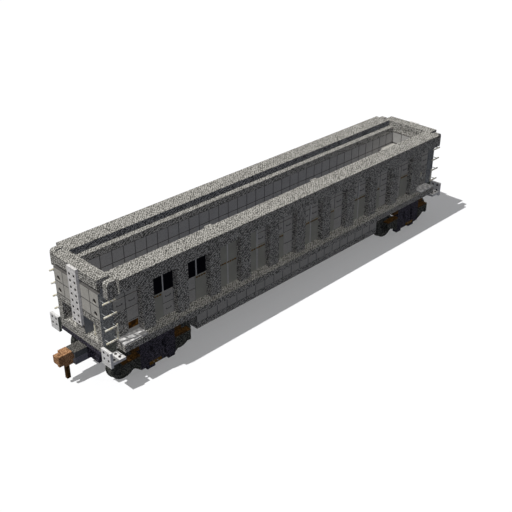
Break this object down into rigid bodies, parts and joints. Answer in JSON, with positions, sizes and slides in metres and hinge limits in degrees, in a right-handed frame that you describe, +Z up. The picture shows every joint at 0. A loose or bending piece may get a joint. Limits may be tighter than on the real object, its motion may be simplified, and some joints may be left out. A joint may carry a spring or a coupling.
{
  "type": "bogie coal gondola",
  "caption": "Open-topped freight wagon for coal and ore: high ribbed sides on a low tub, running on swivelling bogies, with knuckle couplers and corner ladders.",
  "frame": {"origin": "at the level of the wheels' lowest points, under the middle of the wagon", "axes": "+X along the wagon towards end B, +Y across it towards the far side, +Z up"},
  "size_m": [17.77, 3.01, 3.655],
  "materials": {
    "cast_body_paint": "dull mottled grey paint",
    "pressed_sheet_paint": "worn grey paint",
    "pale_galvanised": "pale zinc coating",
    "dark_bogie_iron": "dark bitumen paint",
    "worn_wheel_steel": "dark worn steel",
    "rusty_coupler_iron": "dry brown rust"
  },
  "bodies": {
    "car_body": {"top_chord_near": "cast_body_paint", "top_chord_far": "cast_body_paint", "side_wall_near": "pressed_sheet_paint", "side_wall_far": "pressed_sheet_paint", "side_sill_near": "cast_body_paint", "side_sill_far": "cast_body_paint", "tub_side_near": "pressed_sheet_paint", "tub_side_far": "pressed_sheet_paint", "tub_floor": "pressed_sheet_paint", "tub_end_a": "pressed_sheet_paint", "tub_end_b": "pressed_sheet_paint", "end_floor_a": "cast_body_paint", "end_floor_b": "cast_body_paint", "slope_sheet_a": "cast_body_paint", "slope_sheet_b": "cast_body_paint", "end_chord_a": "cast_body_paint", "end_chord_b": "cast_body_paint", "end_wall_a": "cast_body_paint", "end_wall_b": "cast_body_paint", "end_column_a": "pale_galvanised", "end_column_b": "pale_galvanised", "platform_a": "cast_body_paint", "platform_b": "cast_body_paint", "ladder_a_near": "pale_galvanised", "ladder_a_far": "pale_galvanised", "ladder_b_near": "pale_galvanised", "ladder_b_far": "pale_galvanised", "centre_sill": "dark_bogie_iron", "body_bolster_a": "dark_bogie_iron", "body_bolster_b": "dark_bogie_iron", "draft_box_a": "dark_bogie_iron", "draft_box_b": "dark_bogie_iron"},
    "bogie_a": {"bogie_bolster_a": "dark_bogie_iron", "side_frame_a_near": "dark_bogie_iron", "side_frame_a_far": "dark_bogie_iron", "brake_rig_a": "dark_bogie_iron"},
    "wheelset_a1": {"wheelset_a1": "worn_wheel_steel"},
    "wheelset_a2": {"wheelset_a2": "worn_wheel_steel"},
    "coupler_a": {"coupler_a": "rusty_coupler_iron"},
    "knuckle_a": {"knuckle_a": "rusty_coupler_iron"},
    "bogie_b": {"bogie_bolster_b": "dark_bogie_iron", "side_frame_b_near": "dark_bogie_iron", "side_frame_b_far": "dark_bogie_iron", "brake_rig_b": "dark_bogie_iron"},
    "wheelset_b1": {"wheelset_b1": "worn_wheel_steel"},
    "wheelset_b2": {"wheelset_b2": "worn_wheel_steel"},
    "coupler_b": {"coupler_b": "rusty_coupler_iron"},
    "knuckle_b": {"knuckle_b": "rusty_coupler_iron"}
  },
  "joints": [
    {"name": "bogie_a_swivel", "type": "hinge", "parent": "car_body", "child": "bogie_a", "pos_m": [-6.235, 0, 0.98], "axis": [0, 0, 1], "range_deg": [-4, 4]},
    {"name": "wheelset_a1_spin", "type": "hinge", "parent": "bogie_a", "child": "wheelset_a1", "pos_m": [-7.31, 0, 0.49], "axis": [0, 1, 0], "continuous": true},
    {"name": "wheelset_a2_spin", "type": "hinge", "parent": "bogie_a", "child": "wheelset_a2", "pos_m": [-5.16, 0, 0.49], "axis": [0, 1, 0], "continuous": true},
    {"name": "coupler_a_swing", "type": "hinge", "parent": "car_body", "child": "coupler_a", "pos_m": [-7.8, 0, 0.86], "axis": [0, 0, 1], "range_deg": [-7, 7]},
    {"name": "knuckle_a_swing", "type": "hinge", "parent": "coupler_a", "child": "knuckle_a", "pos_m": [-8.645, 0.115, 0.86], "axis": [0, 0, 1], "range_deg": [-35, 0]},
    {"name": "bogie_b_swivel", "type": "hinge", "parent": "car_body", "child": "bogie_b", "pos_m": [6.235, 0, 0.98], "axis": [0, 0, 1], "range_deg": [-4, 4]},
    {"name": "wheelset_b1_spin", "type": "hinge", "parent": "bogie_b", "child": "wheelset_b1", "pos_m": [5.16, 0, 0.49], "axis": [0, 1, 0], "continuous": true},
    {"name": "wheelset_b2_spin", "type": "hinge", "parent": "bogie_b", "child": "wheelset_b2", "pos_m": [7.31, 0, 0.49], "axis": [0, 1, 0], "continuous": true},
    {"name": "coupler_b_swing", "type": "hinge", "parent": "car_body", "child": "coupler_b", "pos_m": [7.8, 0, 0.86], "axis": [0, 0, 1], "range_deg": [-7, 7]},
    {"name": "knuckle_b_swing", "type": "hinge", "parent": "coupler_b", "child": "knuckle_b", "pos_m": [8.645, -0.115, 0.86], "axis": [0, 0, 1], "range_deg": [-35, 0]}
  ]
}
